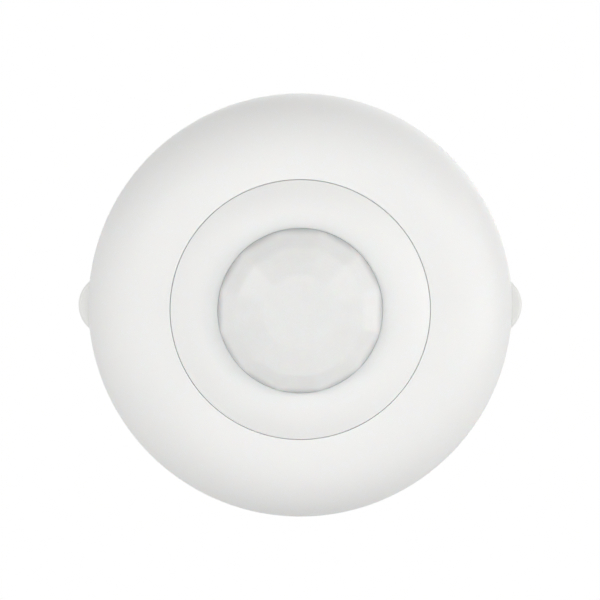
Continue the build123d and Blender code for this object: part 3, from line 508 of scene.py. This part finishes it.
# screws with a cross in the head and a thread, which cut their own way into the bosses
boardScrews = {
    "shape": {
        "core": 1.0, "point": 0.6, "length": 4.0, "shank": (0.0, 0.0, -4.0), "shankSides": 24,
        "head": 2.3, "crown": 1.65, "headStep": 0.9, "headSides": 32,
        "wideLift": (0.0, 0.0, 0.45), "crownLift": (0.0, 0.0, 0.89),
        "crossSize": (2.6, 0.6, 1.7), "crossLift": (0.0, 0.0, 1.8),
        "threadTurns": 4, "threadStart": 0.8, "threadRise": 3.4, "threadLift": (0.0, 0.0, -3.8),
        "threadWire": 0.14, "threadSteps": 20, "threadSides": 4,
    },
    "circle": 38.0, "angles": [22.5, 112.5, 202.5, 292.5], "depth": 13.0,
    "turns": [0.3, 1.1, 0.7, 1.4], "tip": math.pi,     # heads face the room
}
housingScrews = {
    "shape": {
        "core": 1.3, "point": 0.78, "length": 9.0, "shank": (0.0, 0.0, -9.0), "shankSides": 24,
        "head": 2.8, "crown": 2.0, "headStep": 0.9, "headSides": 32,
        "wideLift": (0.0, 0.0, 0.45), "crownLift": (0.0, 0.0, 0.89),
        "crossSize": (3.1, 0.7, 1.7), "crossLift": (0.0, 0.0, 1.8),
        "threadTurns": 8, "threadStart": 1.04, "threadRise": 7.6, "threadLift": (0.0, 0.0, -8.55),
        "threadWire": 0.16, "threadSteps": 20, "threadSides": 4,
    },
    "circle": 45.0, "angles": [45, 135, 225, 315], "depth": 5.8,
    "turns": [0.2, 0.9, 1.3, 0.5], "tip": 0.0,         # heads face the ceiling
}


def crossScrew():
    tree, given = startTree("crossScrew", boardScrews["shape"])
    wide = addNode(tree, "GeometryNodeMeshCylinder", {
        "Vertices": given["headSides"], "Radius": given["head"], "Depth": given["headStep"]})
    wide = addNode(tree, "GeometryNodeTransform", {0: wide, "Translation": given["wideLift"]})
    crown = addNode(tree, "GeometryNodeMeshCone", {
        "Vertices": given["headSides"], "Radius Bottom": given["head"], "Radius Top": given["crown"],
        "Depth": given["headStep"]})
    crown = addNode(tree, "GeometryNodeTransform", {0: crown, "Translation": given["crownLift"]})
    head = addNode(tree, "GeometryNodeMeshBoolean", {1: [wide, crown]}, operation="UNION", solver="EXACT")
    for quarter in (0.0, math.pi / 2):
        bar = addNode(tree, "GeometryNodeMeshCube", {"Size": given["crossSize"]})
        bar = addNode(tree, "GeometryNodeTransform", {
            0: bar, "Translation": given["crossLift"], "Rotation": (0.0, 0.0, quarter)})
        head = addNode(tree, "GeometryNodeMeshBoolean", {
            0: head, 1: bar}, operation="DIFFERENCE", solver="EXACT")
    shank = addNode(tree, "GeometryNodeMeshCone", {
        "Vertices": given["shankSides"], "Radius Bottom": given["point"], "Radius Top": given["core"],
        "Depth": given["length"]})
    shank = addNode(tree, "GeometryNodeTransform", {0: shank, "Translation": given["shank"]})
    helix = addNode(tree, "GeometryNodeCurveSpiral", {
        "Resolution": given["threadSteps"], "Rotations": given["threadTurns"],
        "Start Radius": given["threadStart"], "End Radius": given["core"], "Height": given["threadRise"]})
    ridge = addNode(tree, "GeometryNodeCurvePrimitiveCircle", {
        "Resolution": given["threadSides"], "Radius": given["threadWire"]})
    thread = addNode(tree, "GeometryNodeCurveToMesh", {0: helix, 1: ridge, "Fill Caps": True})
    thread = addNode(tree, "GeometryNodeTransform", {0: thread, "Translation": given["threadLift"]})
    whole = addNode(tree, "GeometryNodeJoinGeometry", {0: [head, shank, thread]})
    return endTree(tree, setOnPlaces(tree, given["Geometry"], whole), given["finish"])


def setScrews(name, tree, screws, node):
    places = ringPlaces(screws["circle"], screws["angles"], screws["depth"])
    return growPiece(name, tree, screws["shape"], node, places, turned(screws["turns"], screws["tip"]))


def makeScrews():
    tree = crossScrew()
    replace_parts(setScrews("board_screw_set", tree, boardScrews, "board_screws"), "board_screws")
    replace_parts(setScrews("housing_screw_set", tree, housingScrews, "housing_screws"), "housing_screws")


# terminal screws: slotted heads with a broken edge, each stopped at its own angle
terminalScrews = {
    "shape": {
        "radius": 1.7, "rim": 1.45, "edge": 0.25, "length": 3.65, "sides": 36,
        "shank": (0.0, 0.0, -2.075), "edgeLift": (0.0, 0.0, -0.251), "slotSize": (3.8, 0.7, 1.6),
    },
    "across": [-7.5, -2.5, 2.5, 7.5],
    "depth": 3.7,
    "turns": [0.5, 2.2, 1.2, 2.9],
}


def slottedScrew():
    tree, given = startTree("slottedScrew", terminalScrews["shape"])
    shank = addNode(tree, "GeometryNodeMeshCylinder", {
        "Vertices": given["sides"], "Radius": given["radius"], "Depth": given["length"]})
    shank = addNode(tree, "GeometryNodeTransform", {0: shank, "Translation": given["shank"]})
    rim = addNode(tree, "GeometryNodeMeshCone", {
        "Vertices": given["sides"], "Radius Bottom": given["radius"], "Radius Top": given["rim"],
        "Depth": given["edge"]})
    rim = addNode(tree, "GeometryNodeTransform", {0: rim, "Translation": given["edgeLift"]})
    screw = addNode(tree, "GeometryNodeMeshBoolean", {1: [shank, rim]}, operation="UNION", solver="EXACT")
    slot = addNode(tree, "GeometryNodeMeshCube", {"Size": given["slotSize"]})
    screw = addNode(tree, "GeometryNodeMeshBoolean", {
        0: screw, 1: slot}, operation="DIFFERENCE", solver="EXACT")
    return endTree(tree, setOnPlaces(tree, given["Geometry"], screw), given["finish"])


def makeTerminalScrews():
    places = [(x, 0.0, -terminalScrews["depth"]) for x in terminalScrews["across"]]
    piece = growPiece("terminal_screw_set", slottedScrew(), terminalScrews["shape"], "terminal_screws",
                      places, turned(terminalScrews["turns"]))
    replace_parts(piece, "terminal_screws")


# chip resistors: black glaze between two tinned ends
resistor = {
    "shape": {
        "coreSize": (1.25, 1.65, 0.6), "coreLift": (0.0, 0.0, -0.3),
        "capSize": (1.28, 0.35, 0.63), "capAhead": (0.0, 0.825, -0.315), "capBehind": (0.0, -0.825, -0.315),
    },
    "circle": 20.0,
    "angles": [20, 36, 52, 128, 144, 200, 216, 232, 308, 324],
    "depth": 13.0,
}


def chipResistor():
    tree, given = startTree("chipResistor", resistor["shape"], ("finish", "ends"))
    core = addNode(tree, "GeometryNodeMeshCube", {"Size": given["coreSize"]})
    core = addNode(tree, "GeometryNodeTransform", {0: core, "Translation": given["coreLift"]})
    core = addNode(tree, "GeometryNodeSetMaterial", {0: core, "Material": given["finish"]})
    cap = addNode(tree, "GeometryNodeMeshCube", {"Size": given["capSize"]})
    caps = addNode(tree, "GeometryNodeJoinGeometry", {0: [
        addNode(tree, "GeometryNodeTransform", {0: cap, "Translation": given["capAhead"]}),
        addNode(tree, "GeometryNodeTransform", {0: cap, "Translation": given["capBehind"]})]})
    caps = addNode(tree, "GeometryNodeSetMaterial", {0: caps, "Material": given["ends"]})
    chip = addNode(tree, "GeometryNodeJoinGeometry", {0: [core, caps]})
    return endTree(tree, setOnPlaces(tree, given["Geometry"], chip))


def makeResistors():
    angles = resistor["angles"]
    places = ringPlaces(resistor["circle"], angles, resistor["depth"])
    piece = growPiece("chip_resistor_set", chipResistor(), resistor["shape"], "small_resistors", places,
                      turned([-math.radians(a) for a in angles]), ends=tinnedPad)
    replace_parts(piece, "small_resistors")


# solder joints: a small cone of tin round every lead, on the ceiling side of the board
leadRow = [-10.2, -7.5, -5.0, -2.5, 0.0, 2.5, 5.0, 7.5, 10.2]
solder = {
    "shape": {"foot": 0.95, "tip": 0.32, "height": 0.75, "sides": 14, "rings": 3},
    # where each row is, and where its leads are across
    "rows": [(-6.6, leadRow), (-9.2, leadRow), (-12.6, [-9.0, -4.4, 3.1, 8.2]),
             (5.3, [-8.0, -3.0, 2.0, 7.0])],
    "depth": 11.42,
    "turnStep": 0.37,
    "smoothAngle": 60.0,
}


def solderJoint():
    tree, given = startTree("solderJoint", solder["shape"])
    cone = addNode(tree, "GeometryNodeMeshCone", {
        "Vertices": given["sides"], "Side Segments": given["rings"], "Radius Bottom": given["foot"],
        "Radius Top": given["tip"], "Depth": given["height"]})
    return endTree(tree, setOnPlaces(tree, given["Geometry"], cone), given["finish"])


def makeSolderJoints():
    places = [(x, y, -solder["depth"]) for y, across in solder["rows"] for x in across]
    turns = [solder["turnStep"] * i for i in range(len(places))]
    growPiece("solder_joint_set", solderJoint(), solder["shape"], "main_board", places, turned(turns),
              smoothAngle=solder["smoothAngle"], slot="plated_steel", finish=tinnedPad)


# grip ribs round each dial
dialGrip = {
    "shape": {"ribs": 18, "ribCircle": 3.4, "rib": 0.16, "height": 1.9, "ribSides": 8},
    "dialAngles": {"time_delay_dial": 58.0, "light_level_dial": 90.0, "sensitivity_dial": 122.0},
    "circle": 27.0,
    "depth": 20.7,
}


def ribbedGrip():
    tree, given = startTree("ribbedGrip", dialGrip["shape"])
    circle = addNode(tree, "GeometryNodeMeshCircle", {
        "Vertices": given["ribs"], "Radius": given["ribCircle"]})
    rib = addNode(tree, "GeometryNodeMeshCylinder", {
        "Vertices": given["ribSides"], "Radius": given["rib"], "Depth": given["height"]})
    ring = addNode(tree, "GeometryNodeInstanceOnPoints", {"Points": circle, "Instance": rib})
    return endTree(tree, setOnPlaces(tree, given["Geometry"], ring), given["finish"])


def makeDialGrips():
    tree = ribbedGrip()
    for dial, angle in dialGrip["dialAngles"].items():
        places = ringPlaces(dialGrip["circle"], [angle], dialGrip["depth"])
        growPiece(dial + "_grip", tree, dialGrip["shape"], dial, places, turned([0.0]))


# ejector marks: round witness marks that the moulding tool leaves in the pockets of the plate
ejector = {
    "shape": {"radius": 2.2, "rise": 0.06, "sides": 40},
    "rings": [(24.8, [0, 60, 120, 180, 240, 300]), (40.0, [30, 60, 120, 150, 210, 240, 300, 330])],
    "depth": 0.8,
}


def ejectorMark():
    tree, given = startTree("ejectorMark", ejector["shape"])
    disc = addNode(tree, "GeometryNodeMeshCylinder", {
        "Vertices": given["sides"], "Radius": given["radius"], "Depth": given["rise"]})
    return endTree(tree, setOnPlaces(tree, given["Geometry"], disc), given["finish"])


def makePlateMarks():
    places = []
    for circle, angles in ejector["rings"]:
        places += ringPlaces(circle, angles, ejector["depth"])
    growPiece("plate_ejector_marks", ejectorMark(), ejector["shape"], "mounting_plate", places,
              turned([0.0] * len(places)))


makeLens()
makeLip()
makeSprings()
makeScrews()
makeTerminalScrews()
makeResistors()
makeSolderJoints()
makeDialGrips()
makePlateMarks()

# the other pieces keep the solid's shape, welded and shaded smooth up to their real edges
dressing = {"weld": 0.002, "sliver": 0.0005, "flatDegrees": 0.2, "smoothDegrees": 35.0}
grownNodes = {"faceted_lens", "right_tab_spring", "left_tab_spring", "board_screws", "housing_screws",
              "terminal_screws", "small_resistors"}


def dressNode(node):
    form = bmesh.new()
    form.from_mesh(nodes[node].data)
    flat, smooth = math.radians(dressing["flatDegrees"]), math.radians(dressing["smoothDegrees"])
    bmesh.ops.remove_doubles(form, verts=form.verts, dist=dressing["weld"] * mm)
    bmesh.ops.dissolve_degenerate(form, edges=form.edges, dist=dressing["sliver"] * mm)
    bmesh.ops.dissolve_limit(form, verts=form.verts, edges=form.edges, angle_limit=flat)
    for face in form.faces:
        face.smooth = True
    mesh = bpy.data.meshes.new(node + "_form")
    form.to_mesh(mesh)
    form.free()
    mesh.set_sharp_from_angle(angle=smooth)
    piece = newPiece(node + "_dressed", mesh, node, finishes[slotOf[node]])
    flatFaces = piece.modifiers.new("flatFaces", "WEIGHTED_NORMAL")
    flatFaces.keep_sharp = True                # large flats stay flat beside small rounds
    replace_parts(piece, node)


for node in nodes:
    if node not in grownNodes:
        dressNode(node)
print("dressed:", len(nodes) - len(grownNodes), "solids")

studio = {
    "target": (-0.05, -1.49, -7.0),      # in millimetres, near the sensor's axis
    "distance": 0.9,                     # in metres, as are the other sizes below that don't say mm
    "tiltDegrees": 3.35,
    "turnDegrees": 0.05,
    "lensMm": 198.9,
    "sensorMm": 36.0,
    "farthest": 20.0,
    "ambient": 0.42,
    "floorDrop": 1.6,
    "floorHalf": 8.0,
    "paper": ("#f0f0ef", "#f4f4f3"),
    "fibreMm": 40.0,
    "lampTarget": (0.0, 0.0, -0.015),
    "softboxes": [                       # name, place, size, power in watts
        ("rightLow", (1.0, -0.05, -0.35), (0.9, 0.9), 4.0),
        ("rightGlint", (0.575, -0.43, -0.8), (0.24, 0.24), 0.85),
        ("leftLow", (-1.0, 0.1, -0.35), (0.9, 0.9), 1.5),
        ("leftHigh", (-0.65, -0.1, -0.8), (0.7, 0.9), 1.1),
        ("leftGlint", (-0.6, -0.4, -0.8), (0.24, 0.24), 0.85),
        ("lower", (0.0, 0.7, -0.8), (1.2, 0.6), 1.6),
        ("front", (0.0, -0.05, -1.3), (1.2, 1.2), 3.0),
        ("ceilingSide", (0.3, -0.6, 1.1), (1.2, 1.2), 3.6),
    ],
}


def addCamera():
    # below the ceiling, looking up at the sensor, with the top of the picture towards -Y
    camera = bpy.data.cameras.new("photoCamera")
    camera.sensor_width = studio["sensorMm"]
    camera.lens = studio["lensMm"]
    camera.clip_end = studio["farthest"]
    item = bpy.data.objects.new("photoCamera", camera)
    bpy.context.scene.collection.objects.link(item)
    tilt, turn = math.radians(studio["tiltDegrees"]), math.radians(studio["turnDegrees"])
    back = Vector((-math.sin(turn), -math.sin(tilt), -math.cos(tilt))).normalized()
    upward = Vector((0.0, -1.0, 0.0))
    up = (upward - back * back.dot(upward)).normalized()
    item.location = Vector(studio["target"]) * mm + back * studio["distance"]
    item.rotation_euler = Matrix((up.cross(back), up, back)).transposed().to_euler()
    bpy.context.scene.camera = item


def addSoftboxes():
    for name, place, size, power in studio["softboxes"]:
        lamp = bpy.data.lights.new(name, "AREA")
        lamp.shape = "RECTANGLE"
        lamp.size, lamp.size_y = size
        lamp.energy = power
        item = bpy.data.objects.new(name, lamp)
        bpy.context.scene.collection.objects.link(item)
        item.location = place
        beam = Vector(studio["lampTarget"]) - Vector(place)
        item.rotation_euler = beam.to_track_quat("-Z", "Y").to_euler()


def seenAsWhite(tree, glowKind, outputKind, plain):
    # the camera, mirrors and glass see plain white, everything else meets the plain shader
    rays = addNode(tree, "ShaderNodeLightPath").outputs
    mirrored = addNode(tree, "ShaderNodeMath", {
        0: rays["Is Glossy Ray"], 1: rays["Is Transmission Ray"]}, operation="MAXIMUM")
    seen = addNode(tree, "ShaderNodeMath", {0: rays["Is Camera Ray"], 1: mirrored}, operation="MAXIMUM")
    white = addNode(tree, glowKind, {"Color": (1, 1, 1, 1), "Strength": 1.0})
    addNode(tree, outputKind, {0: addNode(tree, "ShaderNodeMixShader", {0: seen, 1: plain, 2: white})})


def addWorld():
    world = bpy.data.worlds.new("studioWorld")
    world.use_nodes = True
    world.node_tree.nodes.clear()
    even = addNode(world.node_tree, "ShaderNodeBackground", {
        "Color": (1, 1, 1, 1), "Strength": studio["ambient"]})
    seenAsWhite(world.node_tree, "ShaderNodeBackground", "ShaderNodeOutputWorld", even)
    bpy.context.scene.world = world


def addFloor():
    # matt paper, whose fibres cloud its white a little
    material, tree, place = startMaterial("mattPaperFloor")
    dull, bright = studio["paper"]
    fibre = addNode(tree, "ShaderNodeTexNoise", {
        "Vector": place, "Scale": marksApart(studio["fibreMm"]), "Detail": 2.0})
    paper = addNode(tree, "ShaderNodeMix", {0: fibre, 6: linear(dull), 7: linear(bright)}, data_type="RGBA")
    matt = addNode(tree, "ShaderNodeBsdfDiffuse", {"Color": paper})
    seenAsWhite(tree, "ShaderNodeEmission", "ShaderNodeOutputMaterial", matt)
    half, drop = studio["floorHalf"], -studio["floorDrop"]
    corners = [(-half, -half, drop), (half, -half, drop), (half, half, drop), (-half, half, drop)]
    mesh = bpy.data.meshes.new("paleFloor")
    mesh.from_pydata(corners, [], [(0, 1, 2, 3)])
    mesh.materials.append(material)
    floor = bpy.data.objects.new("paleFloor", mesh)
    bpy.context.scene.collection.objects.link(floor)


addCamera()
addSoftboxes()
addWorld()
addFloor()
bpy.context.scene.view_settings.view_transform = "Standard"
print("studio ready")
